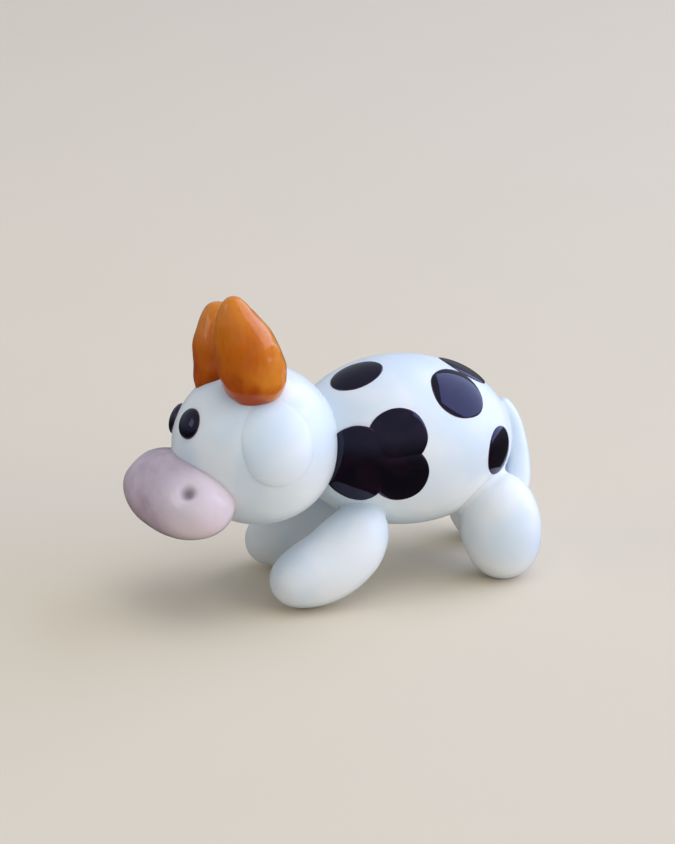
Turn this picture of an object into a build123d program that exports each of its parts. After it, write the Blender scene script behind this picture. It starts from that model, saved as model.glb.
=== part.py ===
from build123d import *
import os
from dataclasses import dataclass
from math import cos, pi, radians, sin

# A cow figurine of torch-worked glass: drops and dots of glass fused to one round body.
# Millimetres, +X to the nose, +Y to the cow's left, +Z up, origin under the middle of the figure.

# Body
body_length = 15.3
body_diameter = 11.1
body_rise = 9.26
body_pitch_deg = -7.3

# Head, carried on the front of the body, narrower than it and turned a little
head_length = 10.6
head_inset = 0.175
head_diameter = body_diameter - 2 * head_inset
neck_overlap = 2.65
head_lift = 1.13
head_yaw_deg = -3.5
head_pitch_deg = -3.9
head_roll_deg = 10.6

# Muzzle, a drop laid across the front of the head, a little short of its sides
muzzle_inset = 0.275
muzzle_width = head_diameter - 2 * muzzle_inset
muzzle_diameter = 5.45
muzzle_reach = 5.45
muzzle_drop = 2.58
muzzle_yaw_deg = 5
muzzle_roll_deg = -3

# Nostrils, poked in the muzzle
nostril_pit_diameter = 0.85
nostril_pit_depth = 0.8
nostril_funnel_diameter = 2.0
nostril_funnel_depth = 0.3
nostril_along_share = 0.8
nostril_around_deg = -28

# Eyes
eye_thickness = 1.3
eye_proud = 0.4

# Ears, flattened drops on the cheeks
ear_diameter = 4.8
ear_thickness = 2.1
ear_proud = 0.85

# Legs: feet on the floor, tops sunk in the body before they are cut to it
foot_flat_depth = 0.18
hind_leg_taper_share = 0.06
front_leg_bow = 1.15

# Tail, a drawn rod that runs down the rump to the left hind leg
tail_diameter = 1.55
tail_end_diameter = 2.1
tail_standoff = 0.4

# Black dots melted into the coat
spot_thickness = 1.25
spot_proud = 0.17

# Points on each half of an egg's outline
egg_steps = 5


@dataclass(frozen=True)
class Horn:
    """One horn: its sizes, its seat on the head and where its tip leans."""

    length: float
    diameter: float
    sink: float
    taper_share: float
    along_share: float
    around_deg: float
    lean_forward_deg: float
    lean_left_deg: float


@dataclass(frozen=True)
class Stance:
    """One leg: its size, where its foot stands and where its top meets the body."""

    diameter: float
    foot_forward: float
    foot_left: float
    top_sink: float
    top_along_share: float
    top_around_deg: float


@dataclass(frozen=True)
class Dot:
    """One dot: its size and its place on the glass that carries it."""

    diameter: float
    along_share: float
    around_deg: float


horns = {
    "left_horn": Horn(
        length=7.7,
        diameter=4.1,
        sink=1.35,
        taper_share=0.38,
        along_share=0.18,
        around_deg=36,
        lean_forward_deg=20,
        lean_left_deg=0,
    ),
    "right_horn": Horn(
        length=7.2,
        diameter=3.9,
        sink=2.55,
        taper_share=0.25,
        along_share=0.37,
        around_deg=-8,
        lean_forward_deg=6,
        lean_left_deg=-7,
    ),
}
hind_stances = {
    "hind_left_leg": Stance(
        diameter=5.2,
        foot_forward=-6.28,
        foot_left=3.6,
        top_sink=0.4,
        top_along_share=-0.73,
        top_around_deg=114,
    ),
    "hind_right_leg": Stance(
        diameter=4.6,
        foot_forward=-7.3,
        foot_left=-3.4,
        top_sink=0.4,
        top_along_share=-0.82,
        top_around_deg=-114,
    ),
}
front_stances = {
    "front_left_leg": Stance(
        diameter=4.35,
        foot_forward=8.7,
        foot_left=3.55,
        top_sink=0.3,
        top_along_share=0.53,
        top_around_deg=147,
    ),
    "front_right_leg": Stance(
        diameter=4.35,
        foot_forward=8.1,
        foot_left=-3.8,
        top_sink=0.3,
        top_along_share=0.48,
        top_around_deg=-147,
    ),
}
tail_along_shares = [-0.87, -0.985, -0.93]
tail_around_degs = [0, 80, 140]
eyes = {
    "left_eye": Dot(diameter=2.15, along_share=0.91, around_deg=36.9),
    "right_eye": Dot(diameter=2.15, along_share=0.88, around_deg=-43),
}
ears = {
    "left_ear": Dot(diameter=ear_diameter, along_share=0.05, around_deg=84),
    "right_ear": Dot(diameter=ear_diameter, along_share=0.05, around_deg=-84),
}
spots = {
    "shoulder_spot": Dot(diameter=3.5, along_share=0.55, around_deg=8),
    "flank_spot_front": Dot(diameter=5.0, along_share=0.66, around_deg=97),
    "flank_spot_upper": Dot(diameter=3.9, along_share=0.346, around_deg=71.2),
    "flank_spot_lower": Dot(diameter=3.7, along_share=0.3, around_deg=98),
    "hip_spot": Dot(diameter=3.7, along_share=-0.26, around_deg=38),
    "rump_spot": Dot(diameter=3.3, along_share=-0.44, around_deg=0),
    "thigh_spot": Dot(diameter=3.1, along_share=-0.69, around_deg=85),
    "right_shoulder_spot": Dot(diameter=3.1, along_share=0.5, around_deg=-40),
    "right_flank_spot": Dot(diameter=3.9, along_share=0.05, around_deg=-82),
    "right_belly_spot": Dot(diameter=3.2, along_share=0.33, around_deg=-100),
    "right_hip_spot": Dot(diameter=3.3, along_share=-0.52, around_deg=-55),
}


def egg_outline(length, diameter, taper_share):
    """Two curves that meet at the waist of an egg about X, which is thinner towards +X."""

    def quarter(first):
        turns = [pi / 2 * (first + step / egg_steps) for step in range(egg_steps + 1)]
        return [
            (length / 2 * cos(turn), diameter / 2 * sin(turn) * (1 - taper_share * cos(turn)))
            for turn in turns
        ]

    front, rear = quarter(0), quarter(1)
    tip, tail, waist = (length / 2, 0), (-length / 2, 0), (0, diameter / 2)
    slope = (-length, taper_share * diameter)
    return [
        Spline(tip, *front[1:-1], waist, tangents=[(0, 1), slope]),
        Spline(waist, *rear[1:-1], tail, tangents=[slope, (0, -1)]),
        Line(tail, tip),
    ]


@dataclass(frozen=True)
class Gather:
    """A lump of glass, an egg of round section about the X axis of its frame."""

    frame: Plane
    length: float
    diameter: float
    taper_share: float = 0

    def solid(self):
        """The closed egg in its place."""
        outline = egg_outline(self.length, self.diameter, self.taper_share)
        return self.frame * revolve(make_face(outline), Axis.X)

    def seat(self, along_share, around_deg):
        """A plane on the skin whose Z points out of the glass.

        The place is a share of the half length and an angle from the top towards the left.
        """
        turn = radians(around_deg)
        thin = 1 - self.taper_share * along_share
        round_share = (1 - along_share**2) ** 0.5 * thin
        slope_share = along_share * thin**2 + self.taper_share * (1 - along_share**2) * thin
        side = self.frame.y_dir * sin(turn) + self.frame.z_dir * cos(turn)
        ahead = self.frame.x_dir
        point = ahead * (self.length / 2 * along_share) + side * (self.diameter / 2 * round_share)
        outward = ahead * (slope_share / self.length) + side * (round_share / self.diameter)
        return Plane(self.frame.origin + point, z_dir=outward.normalized())


def lens_on(carrier, dot, thickness, proud):
    """A lens of glass in a carrier's skin that stands proud of it by the given height."""
    skin = carrier.seat(dot.along_share, dot.around_deg).offset(proud - thickness / 2)
    frame = Plane(skin.origin, x_dir=skin.z_dir, z_dir=skin.x_dir)
    return Gather(frame, thickness, dot.diameter).solid()


def boxes_meet(one, other):
    """Whether the boxes round two solids reach into each other."""
    first, second = one.bounding_box(), other.bounding_box()
    gaps = [first.min - second.max, second.min - first.max]
    return all(max(gap.X, gap.Y, gap.Z) < 0 for gap in gaps)


def cut_by(piece, *neighbours):
    """The piece without the room that its near neighbours take."""
    for neighbour in neighbours:
        if boxes_meet(piece, neighbour):
            piece = piece - neighbour
    return piece


def below_floor():
    """The room under the floor, wider than the figure."""
    reach = body_length + head_length
    return Pos(0, 0, -reach / 2) * Box(2 * reach, 2 * reach, reach)


def make_spots(body, head):
    """Dots in the coat, each cut by those melted in before it and by the head."""
    made = {}
    for name, dot in spots.items():
        lens = lens_on(body, dot, spot_thickness, spot_proud)
        made[name] = cut_by(lens, *made.values(), head.solid())
    return made


def make_muzzle(head):
    """The drop across the face, cut to the head, with its two poked nostrils."""
    middle = Pos(muzzle_reach, 0, -muzzle_drop) * Rot(Z=muzzle_yaw_deg) * Rot(X=muzzle_roll_deg)
    place = Plane(Pos(head.frame.origin) * middle)
    across = Plane(place.origin, x_dir=place.y_dir, z_dir=place.z_dir)
    muzzle = Gather(across, muzzle_width, muzzle_diameter)
    solid = muzzle.solid() - head.solid()
    for side in (1, -1):
        skin = muzzle.seat(side * nostril_along_share, nostril_around_deg)
        for diameter, depth in (
            (nostril_funnel_diameter, nostril_funnel_depth),
            (nostril_pit_diameter, nostril_pit_depth),
        ):
            radius = (diameter**2 / 4 + depth**2) / (2 * depth)
            solid = solid - Pos(skin.offset(radius - depth).origin) * Sphere(radius)
    return solid


def make_horn(head, horn):
    """A drop that thins to its tip, sunk in the head and cut to it."""
    skin = head.seat(horn.along_share, horn.around_deg)
    lean = Rot(Y=horn.lean_forward_deg) * Rot(X=-horn.lean_left_deg)
    rise = Plane(Pos(skin.origin) * lean).offset(horn.length / 2 - horn.sink)
    frame = Plane(rise.origin, x_dir=rise.z_dir, z_dir=rise.x_dir)
    return Gather(frame, horn.length, horn.diameter, horn.taper_share).solid() - head.solid()


def make_hind_leg(body, stance):
    """An upright drop from its foot to the side of the body."""
    foot = Vector(stance.foot_forward, stance.foot_left, -foot_flat_depth)
    top = body.seat(stance.top_along_share, stance.top_around_deg).offset(-stance.top_sink).origin
    frame = Plane((foot + top) / 2, x_dir=top - foot, z_dir=(top - foot).cross(Vector(0, 1, 0)))
    return Gather(frame, (top - foot).length, stance.diameter, hind_leg_taper_share).solid()


def make_front_leg(body, stance):
    """A fat bent drop: its shoulder in the body, its round toe on the floor ahead."""
    radius = stance.diameter / 2
    toe = Vector(stance.foot_forward, stance.foot_left, radius - foot_flat_depth)
    top = body.seat(stance.top_along_share, stance.top_around_deg).offset(-stance.top_sink).origin
    bow = Vector(0, 1, 0).cross(toe - top).normalized() * front_leg_bow
    spine = ThreePointArc(top, (top + toe) / 2 + bow, toe)
    section = Plane(spine @ 0, z_dir=spine % 0) * Circle(radius)
    return sweep(section, path=spine) + Pos(toe) * Sphere(radius) + Pos(top) * Sphere(radius)


def make_tail(body):
    """A drawn rod down the rump with a round blob at its end."""
    places = zip(tail_along_shares, tail_around_degs)
    route = [body.seat(*place).offset(tail_standoff).origin for place in places]
    spine = ThreePointArc(*route)
    section = Plane(spine @ 0, z_dir=spine % 0) * Circle(tail_diameter / 2)
    rod = sweep(section, path=spine) + Pos(route[0]) * Sphere(tail_diameter / 2)
    return rod + Pos(route[-1]) * Sphere(tail_end_diameter / 2)


def make_figure():
    """Every piece of the figure by name, cut to its seats."""
    body = Gather(Plane(Pos(0, 0, body_rise) * Rot(Y=body_pitch_deg)), body_length, body_diameter)
    head_forward = (body_length + head_length) / 2 - neck_overlap
    head_turn = Rot(Z=head_yaw_deg) * Rot(Y=head_pitch_deg) * Rot(X=head_roll_deg)
    head_place = Pos(head_forward, 0, body_rise + head_lift) * head_turn
    head = Gather(Plane(head_place), head_length, head_diameter)
    body_egg, head_egg = body.solid(), head.solid()

    made_spots = make_spots(body, head)
    coat = body_egg
    for spot in made_spots.values():
        coat = coat - spot

    legs = {name: make_hind_leg(body, stance) for name, stance in hind_stances.items()}
    legs |= {name: make_front_leg(body, stance) for name, stance in front_stances.items()}
    for name, leg in legs.items():
        legs[name] = cut_by(leg, below_floor(), body_egg, head_egg, *made_spots.values())

    made_horns = {name: make_horn(head, horn) for name, horn in horns.items()}
    made_horns["right_horn"] = cut_by(made_horns["right_horn"], made_horns["left_horn"])

    pieces = {"body": coat, "head": head_egg - body_egg, "muzzle": make_muzzle(head)}
    pieces |= made_horns
    for name, dot in eyes.items():
        pieces[name] = cut_by(lens_on(head, dot, eye_thickness, eye_proud), head_egg)
    for name, dot in ears.items():
        ear = lens_on(head, dot, ear_thickness, ear_proud)
        pieces[name] = cut_by(ear, head_egg, *made_horns.values())
    pieces |= legs
    pieces["tail"] = cut_by(make_tail(body), body_egg, *made_spots.values(), *legs.values())
    return pieces | made_spots


figure = make_figure()
box = Compound(children=[Compound(piece.solids()) for piece in figure.values()]).bounding_box()
centring = Pos(-box.center().X, -box.center().Y, 0)
os.makedirs("parts", exist_ok=True)
for name, piece in figure.items():
    export_step(centring * piece, f"parts/{name}.step")
print("size", box.size, "moved by", centring.position)
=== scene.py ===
import logging
import math
from dataclasses import dataclass
from enum import Enum
from typing import Any

import bpy
from mathutils import Matrix, Vector


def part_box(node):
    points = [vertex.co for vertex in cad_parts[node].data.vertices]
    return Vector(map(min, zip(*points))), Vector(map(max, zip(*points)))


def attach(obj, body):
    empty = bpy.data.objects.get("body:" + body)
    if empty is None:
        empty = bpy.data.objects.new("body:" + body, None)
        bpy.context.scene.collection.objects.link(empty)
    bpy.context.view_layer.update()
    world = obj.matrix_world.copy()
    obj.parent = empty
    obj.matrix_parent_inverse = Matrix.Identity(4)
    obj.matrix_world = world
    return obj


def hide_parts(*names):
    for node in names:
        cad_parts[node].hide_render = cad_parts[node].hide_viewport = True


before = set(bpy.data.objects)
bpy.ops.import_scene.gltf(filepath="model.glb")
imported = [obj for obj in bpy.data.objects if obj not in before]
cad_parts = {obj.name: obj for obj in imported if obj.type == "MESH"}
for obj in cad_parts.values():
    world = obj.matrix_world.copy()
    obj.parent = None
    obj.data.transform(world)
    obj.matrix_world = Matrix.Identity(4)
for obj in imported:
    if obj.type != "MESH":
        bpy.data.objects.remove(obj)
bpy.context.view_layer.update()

log = logging.getLogger("glass_cow")
MM = 0.001
Triple = tuple[float, float, float]


class Kind(Enum):
    """Kinds of named input that a form takes."""

    NUMBER = "NodeSocketFloat"
    COUNT = "NodeSocketInt"
    POINT = "NodeSocketVector"
    PIECE = "NodeSocketObject"
    FINISH = "NodeSocketMaterial"


class Side(Enum):
    """The cow's two sides, as the sign of the left-right coordinate."""

    LEFT = 1
    RIGHT = -1


class Wire:
    """An output socket of a node tree, on which sums are written as plain expressions."""

    def __init__(self, nodes: "Nodes", socket: bpy.types.NodeSocket) -> None:
        """Keep the socket and the tree that it belongs to."""
        self.nodes = nodes
        self.socket = socket

    def _join(self, operation: str, *terms: Any) -> "Wire":
        """Add one Math or Vector Math node.

        Args:
            operation: The node's operation.
            terms: Wires or numbers, in order.

        Returns:
            The node's first output.
        """
        wide = any(isinstance(term, Wire) and term.socket.type == "VECTOR" for term in terms)
        wide = wide or any(isinstance(term, (Vector, tuple)) for term in terms)
        kind = "ShaderNodeVectorMath" if wide else "ShaderNodeMath"
        return self.nodes.add(kind, {"operation": operation}, dict(enumerate(terms)))[0]

    def _vector(self, operation: str, *terms: Any) -> "Made":
        """Add one Vector Math node, whatever the terms are."""
        return self.nodes.add("ShaderNodeVectorMath", {"operation": operation}, dict(enumerate(terms)))

    def __add__(self, other: Any) -> "Wire":
        """This plus another."""
        return self._join("ADD", self, other)

    def __radd__(self, other: Any) -> "Wire":
        """Another plus this."""
        return self._join("ADD", other, self)

    def __sub__(self, other: Any) -> "Wire":
        """This less another."""
        return self._join("SUBTRACT", self, other)

    def __rsub__(self, other: Any) -> "Wire":
        """Another less this."""
        return self._join("SUBTRACT", other, self)

    def __mul__(self, other: Any) -> "Wire":
        """This times another."""
        return self._join("MULTIPLY", self, other)

    def __rmul__(self, other: Any) -> "Wire":
        """Another times this."""
        return self._join("MULTIPLY", other, self)

    def __truediv__(self, other: Any) -> "Wire":
        """This over another."""
        return self._join("DIVIDE", self, other)

    def __rtruediv__(self, other: Any) -> "Wire":
        """Another over this."""
        return self._join("DIVIDE", other, self)

    def __pow__(self, other: Any) -> "Wire":
        """This to a power."""
        return self._join("POWER", self, other)

    def __abs__(self) -> "Wire":
        """This without its sign."""
        return self._join("ABSOLUTE", self)

    def __gt__(self, other: Any) -> "Wire":
        """One where this is greater, else zero."""
        return self._join("GREATER_THAN", self, other)

    def most(self, other: Any) -> "Wire":
        """The greater of the two."""
        return self._join("MAXIMUM", self, other)

    def least(self, other: Any) -> "Wire":
        """The lesser of the two."""
        return self._join("MINIMUM", self, other)

    def ramp(self, low: float, high: float) -> "Wire":
        """Climb softly from zero to one.

        Args:
            low: The value up to which the result is zero.
            high: The value from which it is one.

        Returns:
            The soft step.
        """
        limits = {"Value": self, "From Min": low, "From Max": high}
        return self.nodes.add("ShaderNodeMapRange", {"interpolation_type": "SMOOTHSTEP"}, limits)[0]

    def dot(self, other: Any) -> "Wire":
        """The dot product of two vectors."""
        return self._vector("DOT_PRODUCT", self, other)["Value"]

    def cross(self, other: Any) -> "Wire":
        """The cross product of two vectors."""
        return self._vector("CROSS_PRODUCT", self, other)[0]

    def unit(self) -> "Wire":
        """This vector at length one."""
        return self._vector("NORMALIZE", self)[0]

    def size(self) -> "Wire":
        """This vector's length."""
        return self._vector("LENGTH", self)["Value"]

    def xyz(self) -> tuple["Wire", "Wire", "Wire"]:
        """This vector's three parts."""
        made = self.nodes.add("ShaderNodeSeparateXYZ", {}, {0: self})
        return made[0], made[1], made[2]


class Made:
    """A node that was added, whose outputs are read as wires."""

    def __init__(self, nodes: "Nodes", node: bpy.types.Node) -> None:
        """Keep the node and its tree."""
        self.nodes = nodes
        self.node = node

    def __getitem__(self, key: int | str) -> Wire:
        """Read one output.

        Args:
            key: The output's number, or the name of an output that is open.

        Returns:
            The output as a wire.
        """
        if isinstance(key, int):
            return Wire(self.nodes, self.node.outputs[key])
        return Wire(self.nodes, next(out for out in self.node.outputs if out.name == key and out.enabled))


class Nodes:
    """A node tree that is filled by calls and expressions."""

    def __init__(self, tree: bpy.types.NodeTree) -> None:
        """Keep the tree to fill."""
        self.tree = tree

    def add(
        self, kind: str, settings: dict[str, Any] | None = None, inputs: dict[Any, Any] | None = None
    ) -> Made:
        """Add one node.

        Args:
            kind: The node's type.
            settings: Its own settings, which are set first.
            inputs: Values or wires for its sockets, by name or number.

        Returns:
            The node, whose outputs are read by name or number.
        """
        node = self.tree.nodes.new(kind)
        for name, value in (settings or {}).items():
            setattr(node, name, value)
        for key, value in (inputs or {}).items():
            if isinstance(key, int):
                socket = node.inputs[key]
            else:
                socket = next(entry for entry in node.inputs if entry.name == key and entry.enabled)
            self._feed(socket, value)
        return Made(self, node)

    def _feed(self, socket: bpy.types.NodeSocket, value: Any) -> None:
        """Link a wire to a socket, or write a value on it.

        Args:
            socket: The input socket.
            value: A wire, a number, a vector or a colour.
        """
        if isinstance(value, Wire):
            self.tree.links.new(value.socket, socket)
        elif socket.type == "VECTOR" and isinstance(value, (int, float)):
            socket.default_value = (value, value, value)
        elif socket.type == "RGBA" and len(value) == 3:
            socket.default_value = (*value, 1.0)
        else:
            socket.default_value = value


class GlassForm(Nodes):
    """A Geometry Nodes tree that shapes one piece of glass from named inputs."""

    def __init__(self, name: str, points: tuple[str, ...], numbers: tuple[str, ...]) -> None:
        """Open the tree.

        Args:
            name: The tree's name.
            points: Its named inputs that are places, directions or seeds.
            numbers: Its named inputs that are plain numbers.
        """
        super().__init__(bpy.data.node_groups.new(name, "GeometryNodeTree"))
        inputs = {label: Kind.POINT for label in points} | {label: Kind.NUMBER for label in numbers}
        inputs |= {"Segments": Kind.COUNT, "Rings": Kind.COUNT, "Carrier": Kind.PIECE, "Finish": Kind.FINISH}
        self.keys: dict[str, str] = {}
        for label, kind in inputs.items():
            socket = self.tree.interface.new_socket(label, in_out="INPUT", socket_type=kind.value)
            self.keys[label] = socket.identifier
        self.tree.interface.new_socket("Glass", in_out="OUTPUT", socket_type="NodeSocketGeometry")
        self.given = self.add("NodeGroupInput")

    def ball(self) -> Wire:
        """A ball of radius one, whose points the form moves."""
        counts = {"Segments": self.given["Segments"], "Rings": self.given["Rings"], "Radius": 1.0}
        return self.add("GeometryNodeMeshUVSphere", {}, counts)["Mesh"]

    def place(self) -> Wire:
        """Where each point is."""
        return self.add("GeometryNodeInputPosition")[0]

    def normal(self) -> Wire:
        """Which way the skin faces at each point."""
        return self.add("GeometryNodeInputNormal")[0]

    def carrier(self) -> Wire:
        """The mesh that carries the piece."""
        return self.add("GeometryNodeObjectInfo", {}, {"Object": self.given["Carrier"]})["Geometry"]

    def wave(self, place: Wire, detail: float) -> Wire:
        """Noise about one half, whose swells are one unit apart."""
        return self.add("ShaderNodeTexNoise", {}, {"Vector": place, "Scale": 1.0, "Detail": detail})[0]

    def skin_under(self, base: Wire, place: Wire) -> tuple[Wire, Wire]:
        """Find the carrier's skin nearest to a place.

        Args:
            base: The carrier's mesh.
            place: The places to start from.

        Returns:
            The nearest point and the skin's direction outwards there.
        """
        targets = {0: base, "Sample Position": place}
        near = self.add("GeometryNodeProximity", {"target_element": "FACES"}, targets)
        samples = {"Mesh": base, "Value": self.normal(), "Sample Position": place}
        facing = self.add("GeometryNodeSampleNearestSurface", {"data_type": "FLOAT_VECTOR"}, samples)
        return near["Position"], facing["Value"].unit()

    def moved(self, mesh: Wire, **where: Wire) -> Wire:
        """Move the points of a mesh to a Position, or by an Offset."""
        return self.add("GeometryNodeSetPosition", {}, {"Geometry": mesh, **where})[0]

    def noted(self, mesh: Wire, name: str, value: Wire) -> Wire:
        """Keep a value on the points of a mesh.

        Args:
            mesh: The mesh.
            name: The name under which a finish reads the value.
            value: The value at each point.

        Returns:
            The mesh with the value on it.
        """
        settings = {"data_type": "FLOAT", "domain": "POINT"}
        inputs = {"Geometry": mesh, "Name": name, "Value": value}
        return self.add("GeometryNodeStoreNamedAttribute", settings, inputs)[0]

    def close(self, mesh: Wire) -> None:
        """Smooth, realize and dress the mesh, and hand it out of the tree.

        Args:
            mesh: The shaped mesh.
        """
        smooth = self.add("GeometryNodeSetShadeSmooth", {}, {"Geometry": mesh})[0]
        real = self.add("GeometryNodeRealizeInstances", {}, {"Geometry": smooth})[0]
        inputs = {"Geometry": real, "Material": self.given["Finish"]}
        dressed = self.add("GeometryNodeSetMaterial", {}, inputs)[0]
        self.add("NodeGroupOutput", {}, {0: dressed})

    def bake(self, name: str, values: dict[str, Any]) -> bpy.types.Object:
        """Shape one piece and keep it as a plain mesh.

        Args:
            name: The piece's name.
            values: A value for each named input that the piece sets.

        Returns:
            The finished object, at the origin.
        """
        piece = bpy.data.objects.new(name, bpy.data.meshes.new(name))
        bpy.context.scene.collection.objects.link(piece)
        modifier = piece.modifiers.new("form", "NODES")
        modifier.node_group = self.tree
        for label, value in values.items():
            modifier[self.keys[label]] = tuple(value) if isinstance(value, Vector) else value
        graph = bpy.context.evaluated_depsgraph_get()
        mesh = bpy.data.meshes.new_from_object(piece.evaluated_get(graph), depsgraph=graph)
        piece.modifiers.clear()
        piece.data = mesh
        mesh.name = name
        return piece


class DropForm(GlassForm):
    """A drop of glass along a bent spine, flared where it is fused to its carrier."""

    POINTS = ("Start", "Bend", "End", "Across", "Seed", "First poke", "Second poke")
    NUMBERS = (
        "Width", "Height", "Taper", "Fullness", "Wobble", "Grain", "Flare", "Sink", "Floor",
        "Funnel width", "Funnel depth", "Pit width", "Pit depth",
    )
    SPINE_STEPS = 64
    LEAST_REACH = 1e-6
    LEAST_FLARE = 1e-9

    def __init__(self) -> None:
        """Build the tree: shape, pokes, flare, seat and floor, in that order."""
        super().__init__("glass drop", self.POINTS, self.NUMBERS)
        mesh = self._shape()
        mesh = self._poke(mesh)
        mesh = self._fuse(mesh)
        x, y, z = self.place().xyz()
        stood = self.add("ShaderNodeCombineXYZ", {}, {0: x, 1: y, 2: z.most(self.given["Floor"])})[0]
        self.close(self.moved(mesh, Position=stood))

    def _shape(self) -> Wire:
        """Lay the ball along the spine as an egg, with an uneven skin.

        Returns:
            The egg, which keeps its share along the spine from minus one to one.
        """
        give = self.given
        across, up, along = self.place().xyz()
        mesh = self.noted(self.ball(), "along", along)
        ends = {"Start": give["Start"], "Middle": give["Bend"], "End": give["End"]}
        ends["Resolution"] = self.SPINE_STEPS
        spine = self.add("GeometryNodeCurveQuadraticBezier", {}, ends)["Curve"]
        share = {"Curves": spine, "Factor": along * 0.5 + 0.5}
        point = self.add("GeometryNodeSampleCurve", {"mode": "FACTOR", "use_all_curves": True}, share)
        middle, ahead = point["Position"], point["Tangent"]
        side = (give["Across"] - ahead * give["Across"].dot(ahead)).unit()
        rise = ahead.cross(side)
        full = give["Fullness"]
        girth = (1 - abs(along) ** full).most(0) ** (1 / full) * (1 - give["Taper"] * along)
        reach = ((across * across + up * up) ** 0.5).most(self.LEAST_REACH)
        spoke = side * (across * give["Width"]) + rise * (up * give["Height"])
        skin = middle + spoke * (girth / reach)
        swell = self.wave(skin / give["Grain"] + give["Seed"], detail=1.0) - 0.5
        return self.moved(mesh, Position=skin + spoke.unit() * (swell * give["Wobble"]))

    def _poke(self, mesh: Wire) -> Wire:
        """Press two funnels with pits into the skin.

        Args:
            mesh: The egg.

        Returns:
            The poked egg, which keeps how deep it is dented in millimetres.
        """
        give = self.given
        place = self.place()
        depth = None
        for label in ("First poke", "Second poke"):
            gap = (place - give[label]).size()
            funnel = (1 - (gap / give["Funnel width"]) ** 2).most(0) ** 2 * give["Funnel depth"]
            pit = (1 - (gap / give["Pit width"]) ** 2).most(0) ** 2 * give["Pit depth"]
            depth = funnel + pit if depth is None else depth + funnel + pit
        mesh = self.noted(mesh, "dent", depth / MM)
        return self.moved(mesh, Offset=self.normal() * (0 - depth))

    def _fuse(self, mesh: Wire) -> Wire:
        """Flare the drop over its carrier's skin and end it just under that skin.

        Args:
            mesh: The egg.

        Returns:
            The egg with its seat.
        """
        give = self.given
        base = self.carrier()
        place = self.place()
        near, facing = self.skin_under(base, place)
        height = (place - near).dot(facing)
        normal = self.normal()
        outward = (normal - facing * normal.dot(facing)).unit()
        flare = give["Flare"].most(self.LEAST_FLARE)
        close = (1 - height / flare).most(0).least(1)
        spread = flare * (1 - (1 - close * close).most(0) ** 0.5)
        mesh = self.moved(mesh, Offset=outward * spread)
        near, facing = self.skin_under(base, place)
        height = (place - near).dot(facing)
        return self.moved(mesh, Offset=facing * (height.most(0 - give["Sink"]) - height))


class DotForm(GlassForm):
    """A dot of glass that is melted into its carrier's skin and stands a little proud of it."""

    POINTS = ("Place", "Along", "Side", "Seed")
    NUMBERS = ("Length", "Width", "Pinch", "Proud", "Depth", "Edge", "Soften", "Tilt", "Tuck", "Wobble")
    TUCK_POWER = 8

    def __init__(self) -> None:
        """Build the tree: outline, skin under it, dome above and root below."""
        super().__init__("glass dot", self.POINTS, self.NUMBERS)
        give = self.given
        x, y, z = self.place().xyz()
        rim = (x * x + y * y) ** 0.5
        mesh = self.noted(self.ball(), "rim", rim)
        heading = self.add("ShaderNodeCombineXYZ", {}, {0: x, 1: y, 2: 0.0})[0].unit()
        grow = 1 + (self.wave(heading + give["Seed"], detail=0.0) - 0.5) * give["Wobble"]
        flat = give["Along"] * (x * give["Length"] * grow * 0.5)
        flat = flat + give["Side"] * (y * give["Width"] * grow * 0.5 * (1 - give["Pinch"] * x))
        near, facing = self.skin_under(self.carrier(), give["Place"] + flat)
        lid = (1 - rim * rim).most(0)
        above = z > 0
        dome = give["Proud"] * lid ** (give["Edge"] + give["Soften"] * x) * (1 - give["Tilt"] * x)
        root = (1 - above) * give["Depth"] * lid**0.5
        height = above * dome - root - give["Tuck"] * rim**self.TUCK_POWER
        self.close(self.moved(mesh, Position=near + facing * height))


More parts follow.
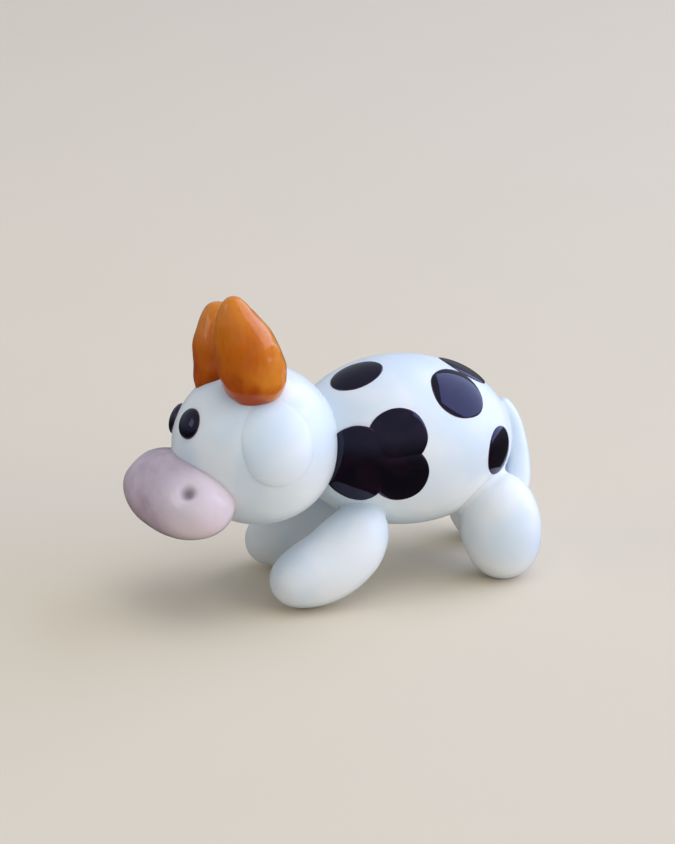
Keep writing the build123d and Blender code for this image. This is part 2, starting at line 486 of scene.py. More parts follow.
class Dressing(Nodes):
    """A material that is being made."""

    def __init__(self, name: str) -> None:
        """Open an empty material.

        Args:
            name: The material's name.
        """
        self.material = bpy.data.materials.new(name)
        self.material.use_nodes = True
        super().__init__(self.material.node_tree)
        self.tree.nodes.clear()

    def place(self) -> Wire:
        """The object's own coordinates."""
        return self.add("ShaderNodeTexCoord")["Object"]

    def kept(self, name: str) -> Wire:
        """A value that the form kept on the mesh."""
        return self.add("ShaderNodeAttribute", {"attribute_name": name})["Fac"]

    def noise(self, place: Wire, grain: float, detail: float, bend: float = 0.0) -> Wire:
        """Make cloudy noise.

        Args:
            place: Coordinates in metres.
            grain: The size of a cloud in millimetres.
            detail: How many finer layers it has.
            bend: How far it is bent by itself.

        Returns:
            A value about one half.
        """
        inputs = {"Vector": place, "Scale": 1 / (grain * MM), "Detail": detail, "Distortion": bend}
        return self.add("ShaderNodeTexNoise", {}, inputs)["Fac"]

    def specks(self, place: Wire, cells: float, core: float, edge: float) -> Wire:
        """Scatter fine specks.

        Args:
            place: Coordinates in metres.
            cells: How many cells, with a speck in each, lie along a metre.
            core: How far the full speck reaches, as a share of its cell.
            edge: How far its faded edge reaches.

        Returns:
            One in a speck, and zero outside.
        """
        gap = self.add("ShaderNodeTexVoronoi", {}, {"Vector": place, "Scale": cells})["Distance"]
        return 1 - gap.ramp(core, edge)

    def mix(self, factor: Wire | float, one: Any, other: Any) -> Wire:
        """Blend two colours.

        Args:
            factor: The share of the other colour.
            one: The first colour, as a value or a wire.
            other: The other colour.

        Returns:
            The blend.
        """
        inputs = {0: factor, 6: one, 7: other}
        return self.add("ShaderNodeMix", {"data_type": "RGBA"}, inputs)[2]

    def bump(self, height: Wire, strength: float, depth: float) -> Wire:
        """Raise a fine relief in the skin's shading.

        Args:
            height: The relief, from zero to one.
            strength: How much of it is seen.
            depth: Its depth in millimetres.

        Returns:
            The bent normal.
        """
        inputs = {"Strength": strength, "Distance": depth * MM, "Height": height}
        return self.add("ShaderNodeBump", {}, inputs)[0]

    def surface(self, inputs: dict[str, Any]) -> bpy.types.Material:
        """Close the material with its shader.

        Args:
            inputs: Values or wires for the shader's sockets.

        Returns:
            The finished material.
        """
        shader = self.add("ShaderNodeBsdfPrincipled", {}, inputs)[0]
        self.add("ShaderNodeOutputMaterial", {}, {"Surface": shader})
        return self.material


def srgb(red: int, green: int, blue: int) -> Triple:
    """Turn a colour's eight-bit values on a screen into what the shader takes.

    Args:
        red: Red, up to 255.
        green: Green, up to 255.
        blue: Blue, up to 255.

    Returns:
        The three linear channels.
    """

    def linear(level: float) -> float:
        """One channel without the screen's curve."""
        return level / 12.92 if level <= 0.04045 else ((level + 0.055) / 1.055) ** 2.4

    return (linear(red / 255), linear(green / 255), linear(blue / 255))


@dataclass(frozen=True)
class OpalGlass:
    """White opal glass: milky, cool where it is thin, with faint streaks from the rod."""

    slot: str = "white_glass"
    white: Triple = srgb(240, 244, 245)
    cool: Triple = srgb(222, 234, 243)
    warm: Triple = srgb(244, 240, 232)
    speck: Triple = srgb(205, 208, 206)
    cloud_grain: float = 5.0
    streak_grain: float = 1.3
    streak_pull: Triple = (0.35, 1.6, 1.1)
    streak_share: float = 0.5
    speck_cells: float = 620.0
    speck_share: float = 0.2
    ripple_grain: float = 1.1
    ripple_depth: float = 0.03
    fine_grain: float = 0.22
    fine_share: float = 0.06
    polish: float = 0.28
    haze: float = 0.14
    haze_grain: float = 0.8
    milkiness: float = 0.2
    glow: Triple = (1.0, 0.95, 0.9)
    glow_depth: float = 0.35
    ior: float = 1.52

    def material(self) -> bpy.types.Material:
        """Mix the glass.

        Returns:
            The finished material.
        """
        made = Dressing("white opal glass")
        place = made.place()
        cloud = made.noise(place, self.cloud_grain, detail=2.0, bend=0.4)
        streak = made.noise(place * self.streak_pull, self.streak_grain, detail=3.0, bend=0.6)
        milk = made.mix(cloud.ramp(0.35, 0.65), self.cool, self.white)
        milk = made.mix(streak.ramp(0.62, 0.8) * self.streak_share, milk, self.warm)
        specks = made.specks(place, self.speck_cells, core=0.03, edge=0.06)
        milk = made.mix(specks * self.speck_share, milk, self.speck)
        ripple = made.noise(place, self.ripple_grain, detail=2.0, bend=0.3)
        fine = made.noise(place, self.fine_grain, detail=1.0)
        relief = ripple + fine * self.fine_share
        return made.surface(
            {
                "Base Color": milk,
                "Roughness": self.polish + made.noise(place, self.haze_grain, detail=3.0) * self.haze,
                "Normal": made.bump(relief, strength=0.3, depth=self.ripple_depth),
                "Subsurface Weight": self.milkiness,
                "Subsurface Radius": self.glow,
                "Subsurface Scale": self.glow_depth * MM,
                "IOR": self.ior,
            }
        )


@dataclass(frozen=True)
class BlackGlass:
    """Black glass that is a deep violet where it thins out at its rim."""

    slot: str = "black_glass"
    black: Triple = srgb(14, 8, 15)
    violet: Triple = srgb(36, 18, 29)
    rim: Triple = srgb(78, 46, 62)
    sheen: Triple = (0.6, 0.63, 1.0)
    cloud_grain: float = 1.4
    cloud_share: float = 0.6
    rim_start: float = 0.955
    rim_stray: float = 0.05
    ripple_grain: float = 0.9
    ripple_depth: float = 0.02
    polish: float = 0.03
    haze: float = 0.06
    haze_grain: float = 0.6
    ior: float = 1.56

    def material(self) -> bpy.types.Material:
        """Mix the glass.

        Returns:
            The finished material.
        """
        made = Dressing("black violet glass")
        place = made.place()
        rim = made.kept("rim")
        cloud = made.noise(place, self.cloud_grain, detail=3.0, bend=0.5)
        ink = made.mix(cloud.ramp(0.4, 0.75) * self.cloud_share, self.black, self.violet)
        thin = (rim + (cloud - 0.5) * self.rim_stray).ramp(self.rim_start, 1.0)
        ink = made.mix(thin, ink, self.rim)
        ripple = made.noise(place, self.ripple_grain, detail=2.0, bend=0.3)
        return made.surface(
            {
                "Base Color": ink,
                "Roughness": self.polish + made.noise(place, self.haze_grain, detail=3.0) * self.haze,
                "Normal": made.bump(ripple, strength=0.2, depth=self.ripple_depth),
                "Specular Tint": self.sheen,
                "IOR": self.ior,
            }
        )


@dataclass(frozen=True)
class AmberGlass:
    """Amber glass: deep orange at the fat end, ochre at the thin tip, a painted glow on the side turned to
    the tail, and drawn streaks.
    """

    slot: str = "amber_glass"
    amber: Triple = srgb(208, 116, 22)
    deep: Triple = srgb(172, 68, 8)
    # Ochre is the thin tip's own colour and also the painted glow on the side turned to the tail.
    ochre: Triple = srgb(222, 146, 48)
    sheen: Triple = (1.0, 0.93, 0.86)
    cloud_grain: float = 1.5
    cloud_pull: Triple = (1.2, 1.2, 0.5)
    cloud_stray: float = 1.1
    tip_stray: float = 0.6
    tip_share: float = 0.6
    # Painted glow: an ochre patch on the side turned to the tail, standing in for light shining through the
    # horn.
    painted_glow_grain: float = 2.2
    painted_glow_ahead: float = 7.8
    painted_glow_stray: float = 6.0
    painted_glow_fade: float = 3.0
    painted_glow_share: float = 0.8
    streak_grain: float = 0.45
    streak_pull: Triple = (1.6, 1.6, 0.4)
    streak_share: float = 0.25
    ripple_grain: float = 1.7
    ripple_pull: Triple = (1.0, 1.0, 0.7)
    ripple_depth: float = 0.06
    polish: float = 0.05
    haze: float = 0.08
    haze_grain: float = 0.7
    milkiness: float = 0.8
    glow: Triple = (1.0, 0.5, 0.15)
    glow_depth: float = 1.0
    ior: float = 1.48

    def material(self) -> bpy.types.Material:
        """Mix the glass.

        Returns:
            The finished material.
        """
        made = Dressing("amber glass")
        place = made.place()
        along = made.kept("along")
        cloud = made.noise(place * self.cloud_pull, self.cloud_grain, detail=3.0, bend=0.8)
        fat = (along + (cloud - 0.5) * self.cloud_stray).ramp(-0.7, 0.5)
        honey = made.mix(fat, self.deep, self.amber)
        tip = (along + cloud * self.tip_stray).ramp(0.55, 1.2)
        honey = made.mix(tip * self.tip_share, honey, self.ochre)
        # Painted glow: ochre on the side of the horn turned to the tail, fading forwards.
        stray = (made.noise(place, self.painted_glow_grain, detail=1.0, bend=0.5) - 0.5) * self.painted_glow_stray
        behind = self.painted_glow_ahead - place.xyz()[0] / MM + stray
        honey = made.mix(behind.ramp(0.0, self.painted_glow_fade) * self.painted_glow_share, honey, self.ochre)
        streak = made.noise(place * self.streak_pull, self.streak_grain, detail=2.0, bend=0.5)
        honey = made.mix(streak.ramp(0.5, 0.8) * self.streak_share, honey, self.deep)
        ripple = made.noise(place * self.ripple_pull, self.ripple_grain, detail=1.0, bend=0.3)
        return made.surface(
            {
                "Base Color": honey,
                "Roughness": self.polish + made.noise(place, self.haze_grain, detail=2.0) * self.haze,
                "Normal": made.bump(ripple, strength=0.35, depth=self.ripple_depth),
                "Subsurface Weight": self.milkiness,
                "Subsurface Radius": self.glow,
                "Subsurface Scale": self.glow_depth * MM,
                "Specular Tint": self.sheen,
                "IOR": self.ior,
            }
        )


@dataclass(frozen=True)
class PinkGlass:
    """Dusty pink glass with mauve clouds, a painted highlight towards both ends, and painted shade below and
    in the nostril dents.
    """

    slot: str = "pink_glass"
    pink: Triple = srgb(190, 167, 180)
    pale: Triple = srgb(210, 190, 202)
    mauve: Triple = srgb(172, 149, 163)
    # Painted highlight: a paler colour towards both ends of the muzzle.
    milky: Triple = srgb(236, 222, 228)
    # Painted shade: a darker colour low on the muzzle, where its underside is shaded.
    painted_underside_shade: Triple = srgb(150, 126, 136)
    # Painted shade: a dark colour in the nostril pits.
    dent: Triple = srgb(104, 86, 100)
    cloud_grain: float = 3.4
    swirl_grain: float = 1.0
    swirl_pull: Triple = (1.0, 0.6, 1.4)
    swirl_share: float = 0.3
    # Painted shade: the height in millimetres where it starts, how far it fades, and how much of it shows.
    painted_shade_top: float = 7.8
    painted_shade_fade: float = 2.4
    painted_shade_share: float = 0.55
    painted_end_highlight_share: float = 0.85
    speck_cells: float = 900.0
    speck_share: float = 0.12
    painted_pit_shade_share: float = 0.75
    ripple_grain: float = 0.9
    ripple_depth: float = 0.04
    polish: float = 0.09
    haze: float = 0.1
    haze_grain: float = 0.7
    milkiness: float = 0.4
    glow: Triple = (1.0, 0.85, 0.9)
    glow_depth: float = 0.6
    ior: float = 1.52

    def material(self) -> bpy.types.Material:
        """Mix the glass.

        Returns:
            The finished material.
        """
        made = Dressing("dusty pink glass")
        place = made.place()
        cloud = made.noise(place, self.cloud_grain, detail=2.0, bend=0.5)
        swirl = made.noise(place * self.swirl_pull, self.swirl_grain, detail=3.0, bend=1.0)
        blush = made.mix(cloud.ramp(0.38, 0.64), self.pink, self.pale)
        blush = made.mix(swirl.ramp(0.45, 0.85) * self.swirl_share, blush, self.mauve)
        # Painted shade: darker towards the underside of the muzzle.
        below = self.painted_shade_top - place.xyz()[2] / MM
        blush = made.mix(below.ramp(0.0, self.painted_shade_fade) * self.painted_shade_share, blush, self.painted_underside_shade)
        # Painted highlight: paler towards both ends of the muzzle.
        ends = abs(made.kept("along")).ramp(0.25, 0.8)
        blush = made.mix(ends * self.painted_end_highlight_share, blush, self.milky)
        specks = made.specks(place, self.speck_cells, core=0.03, edge=0.07)
        blush = made.mix(specks * self.speck_share, blush, self.mauve)
        # Painted shade in the nostril pits, darker where the dent is deeper.
        dented = made.kept("dent").ramp(0.05, 0.6)
        blush = made.mix(dented * self.painted_pit_shade_share, blush, self.dent)
        ripple = made.noise(place, self.ripple_grain, detail=2.0, bend=0.4)
        return made.surface(
            {
                "Base Color": blush,
                "Roughness": self.polish + made.noise(place, self.haze_grain, detail=3.0) * self.haze,
                "Normal": made.bump(ripple, strength=0.4, depth=self.ripple_depth),
                "Subsurface Weight": self.milkiness,
                "Subsurface Radius": self.glow,
                "Subsurface Scale": self.glow_depth * MM,
                "IOR": self.ior,
            }
        )


Finish = OpalGlass | BlackGlass | AmberGlass | PinkGlass


@dataclass(frozen=True)
class Bench:
    """The place that the figure is built on: millimetres from under the body's middle."""

    ahead: float
    left: float

    @staticmethod
    def under_body() -> "Bench":
        """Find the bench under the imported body, whose middle is as far left as the head's.

        Returns:
            The bench.
        """
        body_low, body_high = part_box("body")
        head_low, head_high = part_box("head")
        return Bench((body_low[0] + body_high[0]) / 2 / MM, (head_low[1] + head_high[1]) / 2 / MM)

    def at(self, place: Triple | Vector) -> Vector:
        """A place of the figure in metres."""
        return Vector((place[0] + self.ahead, place[1] + self.left, place[2])) * MM


@dataclass(frozen=True)
class Egg:
    """An egg in figure millimetres that dots are set on."""

    middle: Triple
    turn: Matrix
    length: float
    width: float
    height: float

    def reach(self) -> Vector:
        """From the egg's middle to its front end."""
        return self.turn @ Vector((self.length / 2, 0, 0))

    def spot(self, along_share: float, around_deg: float) -> tuple[Vector, Vector, Vector]:
        """Find a place on the egg's skin.

        Args:
            along_share: Share of the half length ahead of the middle.
            around_deg: Angle from the top towards the left.

        Returns:
            The point, the direction ahead in the skin, and the direction to its left.
        """
        turn = math.radians(around_deg)
        round_share = math.sqrt(1 - along_share**2)
        local = Vector(
            (
                self.length / 2 * along_share,
                self.width / 2 * round_share * math.sin(turn),
                self.height / 2 * round_share * math.cos(turn),
            )
        )
        outward = Vector((local.x / self.length**2, local.y / self.width**2, local.z / self.height**2))
        outward = (self.turn @ outward).normalized()
        ahead = self.turn @ Vector((1, 0, 0))
        ahead = (ahead - outward * ahead.dot(outward)).normalized()
        return Vector(self.middle) + self.turn @ local, ahead, outward.cross(ahead)


def turned(yaw: float = 0, pitch: float = 0, roll: float = 0) -> Matrix:
    """Turn about X, then Y, then Z.

    Args:
        yaw: The turn about Z, in degrees.
        pitch: The turn about Y, in degrees.
        roll: The turn about X, in degrees.

    Returns:
        The three turns as one.
    """
    spin = Matrix.Rotation(math.radians(yaw), 3, "Z") @ Matrix.Rotation(math.radians(pitch), 3, "Y")
    return spin @ Matrix.Rotation(math.radians(roll), 3, "X")


@dataclass(frozen=True)
class Drop:
    """One drop in figure millimetres: its spine, its half width and height, and how it is fused."""

    node: str
    start: Triple | Vector
    middle: Triple | Vector
    end: Triple | Vector
    width: float
    height: float
    across: Triple | Vector = (0, 1, 0)
    taper: float = 0.0
    fullness: float = 2.0
    wobble: float = 0.08
    grain: float = 3.2
    seed: Triple = (0, 0, 0)
    flare: float = 0.0
    sink: float = 0.5
    segments: int = 144
    rings: int = 112


@dataclass(frozen=True)
class Pokes:
    """Two like dents in figure millimetres, each a wide funnel with a narrow pit in it."""

    first: Vector
    second: Vector
    funnel_width: float
    funnel_depth: float
    pit_width: float
    pit_depth: float


@dataclass(frozen=True)
class Dot:
    """One dot in millimetres, turned in the skin, with its place as share and angle."""

    node: str
    along_share: float
    around_deg: float
    length: float
    width: float
    turn_deg: float = 0.0
    pinch: float = 0.0
    proud: float = 0.14
    depth: float = 0.9
    edge: float = 0.45
    soften: float = 0.0
    tilt: float = 0.0
    tuck: float = 0.0
    wobble: float = 0.12
    seed: float = 0.0
    segments: int = 96
    rings: int = 64


class Torch:
    """The tools that shape drops and dots and set them on the figure."""

    def __init__(self, bench: Bench) -> None:
        """Make the two forms and the four finishes.

        Args:
            bench: Where the figure stands.
        """
        self.bench = bench
        self.drop_form = DropForm()
        self.dot_form = DotForm()
        rods: tuple[Finish, ...] = (OpalGlass(), BlackGlass(), AmberGlass(), PinkGlass())
        self.finishes = {finish: finish.material() for finish in rods}

    def drop(
        self,
        drop: Drop,
        finish: Finish,
        carrier: bpy.types.Object | None = None,
        pokes: Pokes | None = None,
    ) -> bpy.types.Object:
        """Shape a drop and set it in the place of its node.

        Args:
            drop: The drop.
            finish: Its finish.
            carrier: The piece that it is fused to.
            pokes: Two dents that are poked in.

        Returns:
            The finished piece.
        """
        at = self.bench.at
        start, middle, end = Vector(drop.start), Vector(drop.middle), Vector(drop.end)
        values = {
            "Start": at(start),
            "Bend": at(middle * 2 - (start + end) / 2),
            "End": at(end),
            "Across": Vector(drop.across),
            "Seed": Vector(drop.seed),
            "Width": drop.width * MM,
            "Height": drop.height * MM,
            "Taper": float(drop.taper),
            "Fullness": float(drop.fullness),
            "Wobble": drop.wobble * MM,
            "Grain": drop.grain * MM,
            "Flare": drop.flare * MM,
            "Sink": drop.sink * MM,
            "Floor": 0.0,
            "Segments": drop.segments,
            "Rings": drop.rings,
            "Finish": self.finishes[finish],
            "Funnel width": MM,
            "Pit width": MM,
        }
        if carrier:
            values["Carrier"] = carrier
        if pokes:
            values |= {
                "First poke": at(pokes.first),
                "Second poke": at(pokes.second),
                "Funnel width": pokes.funnel_width * MM,
                "Funnel depth": pokes.funnel_depth * MM,
                "Pit width": pokes.pit_width * MM,
                "Pit depth": pokes.pit_depth * MM,
            }
        return self._set(self.drop_form.bake(f"glass_{drop.node}", values), drop.node, finish)

    def dot(self, dot: Dot, egg: Egg, finish: Finish, carrier: bpy.types.Object) -> bpy.types.Object:
        """Melt a dot into its carrier in the place of its node.

        Args:
            dot: The dot.
            egg: The egg that its place is given on.
            finish: Its finish.
            carrier: The piece that it is melted into.

        Returns:
            The finished piece.
        """
        point, ahead, left = egg.spot(dot.along_share, dot.around_deg)
        swing = math.radians(dot.turn_deg)
        values = {
            "Place": self.bench.at(point),
            "Along": ahead * math.cos(swing) + left * math.sin(swing),
            "Side": left * math.cos(swing) - ahead * math.sin(swing),
            "Seed": Vector((dot.seed, 2 * dot.seed, 0)),
            "Length": dot.length * MM,
            "Width": dot.width * MM,
            "Pinch": float(dot.pinch),
            "Proud": dot.proud * MM,
            "Depth": dot.depth * MM,
            "Edge": float(dot.edge),
            "Soften": float(dot.soften),
            "Tilt": float(dot.tilt),
            "Tuck": dot.tuck * MM,
            "Wobble": float(dot.wobble),
            "Segments": dot.segments,
            "Rings": dot.rings,
            "Carrier": carrier,
            "Finish": self.finishes[finish],
        }
        return self._set(self.dot_form.bake(f"glass_{dot.node}", values), dot.node, finish)

    def _set(self, piece: bpy.types.Object, node: str, finish: Finish) -> bpy.types.Object:
        """Put a piece in the place of its node, which is hidden, and log its slot.

        Args:
            piece: The finished piece.
            node: The node that it replaces.
            finish: The finish whose slot is logged.

        Returns:
            The same piece.
        """
        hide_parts(node)
        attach(piece, "root")
        log.info("%s: %d points, %s", piece.name, len(piece.data.vertices), finish.slot)
        return piece


@dataclass
class Trunk:
    """The body with its tail and the black dots of its coat."""

    rise: float = 9.26
    length: float = 15.28
    width: float = 10.86
    height: float = 11.3
    pitch: float = -7.3
    tail: Drop = Drop(
        "tail", (-7.1, 0.1, 11.0), (-7.98, 0.66, 8.45), (-7.35, 2.35, 5.2), 0.85, 0.75,
        taper=-0.22, fullness=4.5, wobble=0.1, grain=1.6, flare=0.15, sink=0.35, segments=64,
    )
    dots: tuple[Dot, ...] = (
        Dot("shoulder_spot", 0.55, 8, 3.7, 3.0, seed=1.3),
        Dot("flank_spot_upper", 0.346, 71.2, 4.0, 4.0, seed=2.1),
        Dot("flank_spot_front", 0.66, 96, 4.7, 5.9, proud=0.15, tuck=-0.06, seed=3.7),
        Dot("flank_spot_lower", 0.3, 98.5, 3.9, 4.0, seed=4.2),
        Dot("hip_spot", -0.27, 38, 4.1, 4.1, seed=5.9),
        Dot("rump_spot", -0.5, 1, 3.6, 3.5, seed=6.4),
        Dot("thigh_spot", -0.7, 85, 2.9, 3.5, seed=7.8),
        Dot("right_shoulder_spot", 0.5, -52, 3.1, 2.4, seed=8.5),
        Dot("right_flank_spot", 0.05, -82, 4.1, 3.8, seed=9.1),
        Dot("right_belly_spot", 0.33, -100, 3.1, 3.3, seed=10.6),
        Dot("right_hip_spot", -0.52, -55, 3.5, 3.1, seed=11.3),
    )

    def build(self, torch: Torch) -> bpy.types.Object:
        """Shape the body, then fuse its tail and dots to it.

        Args:
            torch: The tools.

        Returns:
            The body, which carries the rest.
        """
        egg = Egg((0, 0, self.rise), turned(pitch=self.pitch), self.length, self.width, self.height)
        middle, reach = Vector(egg.middle), egg.reach()
        gather = Drop(
            "body", middle - reach, middle, middle + reach, self.width / 2, self.height / 2,
            wobble=0.1, grain=6.0, segments=192, rings=160,
        )
        body = torch.drop(gather, OpalGlass())
        for dot in self.dots:
            torch.dot(dot, egg, BlackGlass(), body)
        torch.drop(self.tail, OpalGlass(), body)
        return body


@dataclass
class Face:
    """The head with its muzzle, eyes, ears and horns."""

    middle: Triple = (10.36, 0.0, 10.385)
    length: float = 10.66
    width: float = 11.4
    height: float = 10.4
    yaw: float = -3.5
    pitch: float = -3.9
    roll: float = 10.6
    muzzle_middle: Triple = (15.48, -0.1, 7.6)
    muzzle_width: float = 10.3
    muzzle_depth: float = 5.86
    muzzle_height: float = 5.3
    muzzle_yaw: float = 4.4
    muzzle_roll: float = 4.4
    nostril: Triple = (16.53, 3.95, 9.4)
    horns: tuple[Drop, ...] = (
        Drop(
            "left_horn", (10.5, 2.29, 13.9), (11.75, 2.29, 17.5), (12.8, 2.29, 21.12), 2.03, 1.95,
            across=(1, 0, 0), taper=0.35, fullness=2.2, wobble=0.4, grain=2.0, seed=(4.0, 1.0, 7.0),
        ),
        Drop(
            "right_horn", (11.2, -1.5, 12.6), (11.68, -1.96, 16.0), (11.9, -2.45, 19.4), 2.0, 1.95,
            across=(1, 0, 0), taper=0.26, fullness=2.45, wobble=0.4, grain=2.0, seed=(2.0, 5.0, 3.0),
        ),
    )
    eyes: tuple[Dot, ...] = (
        Dot("left_eye", 0.91, 36.9, 2.0, 2.2, proud=0.4, depth=0.6, edge=0.5, wobble=0.03, seed=3.0),
        Dot("right_eye", 0.86, -54, 2.0, 2.2, proud=0.4, depth=0.6, edge=0.5, wobble=0.03, seed=1.0),
    )
    ear_along: float = 0.05
    ear_around: float = 78.0
    ear_length: float = 7.2
    ear_width: float = 5.4
    ear_turn: float = 84.0
    ear_seed: float = 5.0

    def build(self, torch: Torch, body: bpy.types.Object) -> bpy.types.Object:
        """Shape the head on the body and fuse the face's pieces to it.

        Args:
            torch: The tools.
            body: The piece that carries the head.

        Returns:
            The head.
        """
        turn = turned(self.yaw, self.pitch, self.roll)
        egg = Egg(self.middle, turn, self.length, self.width, self.height)
        middle, reach = Vector(egg.middle), egg.reach()
        gather = Drop(
            "head", middle - reach, middle, middle + reach, self.width / 2, self.height / 2,
            across=turn @ Vector((0, 1, 0)), taper=0.04, wobble=0.1, grain=5.0, seed=(3.0, 0.0, 1.0),
            flare=0.12, sink=0.6, segments=192, rings=160,
        )
        head = torch.drop(gather, OpalGlass(), body)
        self._muzzle(torch, head)
        for horn in self.horns:
            torch.drop(horn, AmberGlass(), head)
        for eye in self.eyes:
            torch.dot(eye, egg, BlackGlass(), head)
        for side in Side:
            torch.dot(self._ear(side), egg, OpalGlass(), head)
        return head

    def _ear(self, side: Side) -> Dot:
        """Lay out one ear.

        Args:
            side: The side that it lies on.

        Returns:
            The ear as a flat dot, thickest at its lower end.
        """
        sign = side.value
        return Dot(
            f"{side.name.lower()}_ear", self.ear_along, sign * self.ear_around,
            self.ear_length, self.ear_width, turn_deg=-sign * self.ear_turn,
            pinch=0.15, proud=0.34, depth=0.6, edge=0.9, soften=0.6, tilt=0.9, tuck=0.06, wobble=0.1,
            seed=self.ear_seed + sign,
        )

    def _muzzle(self, torch: Torch, head: bpy.types.Object) -> bpy.types.Object:
        """Lay the muzzle across the face and poke its two nostrils.

        Args:
            torch: The tools.
            head: The piece that carries the muzzle.

        Returns:
            The muzzle.
        """
        turn = turned(yaw=self.muzzle_yaw, roll=self.muzzle_roll)
        middle = Vector(self.muzzle_middle)
        reach = turn @ Vector((0, self.muzzle_width / 2, 0))
        near = Vector(self.nostril)
        local = turn.transposed() @ (near - middle)
        far = middle + turn @ Vector((local.x, -local.y, local.z))
        drop = Drop(
            "muzzle", middle - reach, middle, middle + reach, self.muzzle_depth / 2, self.muzzle_height / 2,
            across=turn @ Vector((1, 0, 0)), taper=0.05, fullness=2.35, wobble=0.12, grain=2.6,
            seed=(6.0, 2.0, 4.0), flare=0.12, sink=0.5, segments=224, rings=224,
        )
        nostrils = Pokes(near, far, funnel_width=1.3, funnel_depth=0.15, pit_width=0.85, pit_depth=0.42)
        return torch.drop(drop, PinkGlass(), head, nostrils)


@dataclass
class Legs:
    """The four legs: two bent drops ahead and two upright drops behind."""

    drops: tuple[Drop, ...] = (
        Drop(
            "hind_left_leg", (-6.3, 3.58, -0.12), (-5.7, 3.37, 3.49), (-5.12, 3.15, 7.1), 2.48, 2.72,
            fullness=2.15, wobble=0.2, flare=0.5, seed=(1.0, 1.0, 0.0),
        ),
        Drop(
            "hind_right_leg", (-7.35, -3.4, -0.12), (-6.9, -3.25, 3.49), (-6.5, -3.1, 7.1), 2.3, 1.95,
            fullness=2.15, wobble=0.1, flare=0.5, seed=(0.0, 2.0, 1.0),
        ),
        Drop(
            "front_left_leg", (4.3, 3.1, 6.4), (5.75, 3.32, 3.15), (10.6, 3.57, 1.9), 2.4, 2.35,
            taper=0.07, fullness=2.4, wobble=0.2, flare=0.2, seed=(5.0, 0.0, 2.0),
        ),
        Drop(
            "front_right_leg", (3.9, -3.3, 6.4), (5.15, -3.55, 3.15), (9.5, -3.8, 1.9), 2.4, 2.3,
            taper=0.07, fullness=2.4, wobble=0.2, flare=0.2, seed=(2.0, 3.0, 5.0),
        ),
    )

    def build(self, torch: Torch, body: bpy.types.Object) -> None:
        """Fuse the four legs to the body.

        Args:
            torch: The tools.
            body: The piece that carries them.
        """
        for drop in self.drops:
            torch.drop(drop, OpalGlass(), body)


@dataclass(frozen=True)
class Lamp:
    """A lamp panel that faces the figure, in metres and watts."""

    name: str
    way: Triple
    distance: float
    width: float
    height: float
    power: float
    colour: Triple
    mirrored: bool

    def hang(self, aim: Vector) -> None:
        """Hang the panel.

        Args:
            aim: The point that it is hung round.
        """
        way = Vector(self.way)
        light = bpy.data.lights.new(self.name, "AREA")
        light.shape = "RECTANGLE"
        light.size = self.width
        light.size_y = self.height
        light.energy = self.power
        light.color = self.colour
        panel = bpy.data.objects.new(self.name, light)
        panel.location = way.normalized() * self.distance + aim
        panel.rotation_euler = way.to_track_quat("Z", "Y").to_euler()
        panel.visible_glossy = self.mirrored
        bpy.context.scene.collection.objects.link(panel)


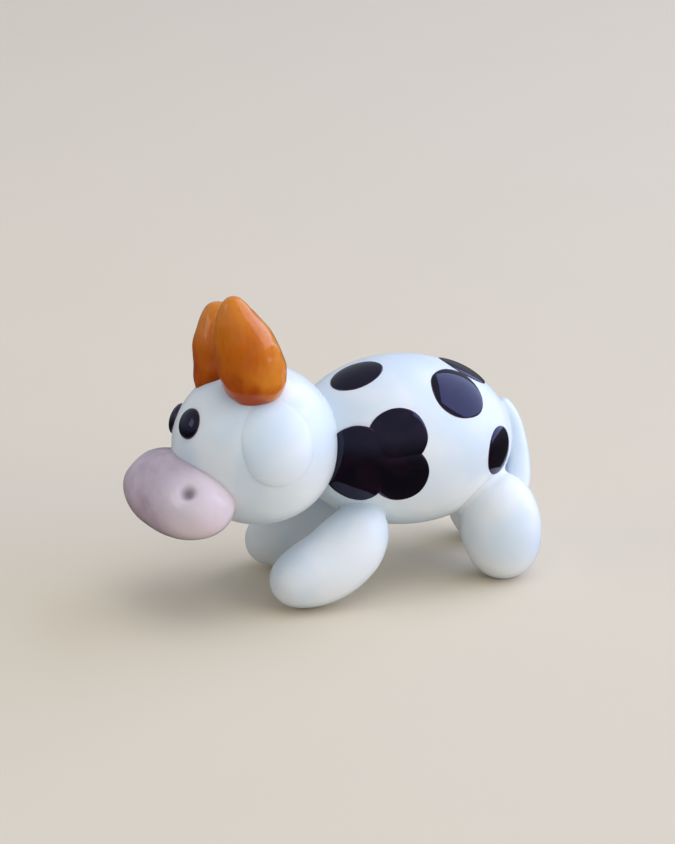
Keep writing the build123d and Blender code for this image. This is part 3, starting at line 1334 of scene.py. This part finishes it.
@dataclass
class Studio:
    """A plain pale floor, soft light and the camera, whose aim and distance are in figure millimetres."""

    floor_size: float = 3.0
    floor_colour: Triple = srgb(229, 215, 190)
    floor_shade: float = 0.9
    floor_mottle: float = 0.2
    floor_grain: float = 12.0
    floor_roughness: float = 0.8
    sky_colour: Triple = (0.81, 0.91, 1.04)
    sky_low: float = 0.06
    sky_gain: float = 0.4
    sky_blend: float = 0.3
    lamp_aim: Triple = (0.0, 0.0, 0.01)
    lamps: tuple[Lamp, ...] = (
        Lamp("overhead", (-0.1, 0.1, 1.0), 0.5, 0.4, 0.4, 0.75, (1.0, 0.97, 0.92), mirrored=False),
        Lamp("window", (-0.86, 0.06, 0.5), 0.45, 0.62, 0.48, 2.05, (0.52, 0.6, 1.0), mirrored=True),
        Lamp("side", (-0.5, 0.75, 0.2), 0.6, 0.4, 0.4, 1.25, (1.0, 0.97, 0.91), mirrored=False),
        Lamp("front", (1.0, -0.1, 0.65), 0.5, 0.24, 0.24, 0.22, (0.95, 0.97, 1.0), mirrored=True),
    )
    azimuth: float = 157.04
    elevation: float = 19.46
    target: Triple = (4.564, 0.0, 11.043)
    distance: float = 194.8
    focal: float = 127.96
    sensor: float = 36.0
    clip_near: float = 0.01
    clip_far: float = 10.0

    def build(self, bench: Bench) -> None:
        """Set up the floor, the light and the camera.

        Args:
            bench: Where the figure stands.
        """
        self._floor()
        self._sky()
        for lamp in self.lamps:
            lamp.hang(Vector(self.lamp_aim))
        self._camera(bench)

    def _floor(self) -> None:
        """Lay a plain floor with a faint grain, which the glass doesn't mirror."""
        mesh = bpy.data.meshes.new("floor")
        half = self.floor_size / 2
        corners = [(-half, -half, 0), (half, -half, 0), (half, half, 0), (-half, half, 0)]
        mesh.from_pydata(corners, [], [(0, 1, 2, 3)])
        floor = bpy.data.objects.new("floor", mesh)
        bpy.context.scene.collection.objects.link(floor)
        made = Dressing("matt floor")
        grain = made.noise(made.place(), self.floor_grain, detail=3.0)
        shade = tuple(level * self.floor_shade for level in self.floor_colour)
        tone = made.mix(grain * self.floor_mottle, self.floor_colour, shade)
        floor.data.materials.append(made.surface({"Base Color": tone, "Roughness": self.floor_roughness}))
        floor.visible_glossy = False

    def _sky(self) -> None:
        """Light the figure softly from all round, with a dark lower half for the mirrors in the glass."""
        world = bpy.data.worlds.new("soft light")
        world.use_nodes = True
        bpy.context.scene.world = world
        world.node_tree.nodes.clear()
        nodes = Nodes(world.node_tree)
        height = nodes.add("ShaderNodeTexCoord")["Generated"].xyz()[2]
        level = self.sky_low + height.ramp(-self.sky_blend, self.sky_blend) * self.sky_gain
        back = nodes.add("ShaderNodeBackground", {}, {"Color": self.sky_colour, "Strength": level})[0]
        nodes.add("ShaderNodeOutputWorld", {}, {"Surface": back})

    def _camera(self, bench: Bench) -> None:
        """Set the camera at the picture's viewing angle.

        Args:
            bench: Where the figure stands.
        """
        azimuth, elevation = math.radians(self.azimuth), math.radians(self.elevation)
        back = Vector(
            (
                math.sin(azimuth) * math.cos(elevation),
                -math.cos(azimuth) * math.cos(elevation),
                math.sin(elevation),
            )
        )
        data = bpy.data.cameras.new("camera")
        data.lens = self.focal
        data.sensor_width = self.sensor
        data.clip_start = self.clip_near
        data.clip_end = self.clip_far
        camera = bpy.data.objects.new("camera", data)
        camera.location = bench.at(self.target) + back * self.distance * MM
        camera.rotation_euler = back.to_track_quat("Z", "Y").to_euler()
        bpy.context.scene.collection.objects.link(camera)
        bpy.context.scene.camera = camera


def main() -> None:
    """Build the figure, its stage and its light."""
    logging.basicConfig(level=logging.INFO, format="%(name)s: %(message)s")
    bpy.context.scene.view_settings.view_transform = "Standard"
    bench = Bench.under_body()
    torch = Torch(bench)
    body = Trunk().build(torch)
    Face().build(torch, body)
    Legs().build(torch, body)
    Studio().build(bench)


if __name__ == "__main__":
    main()
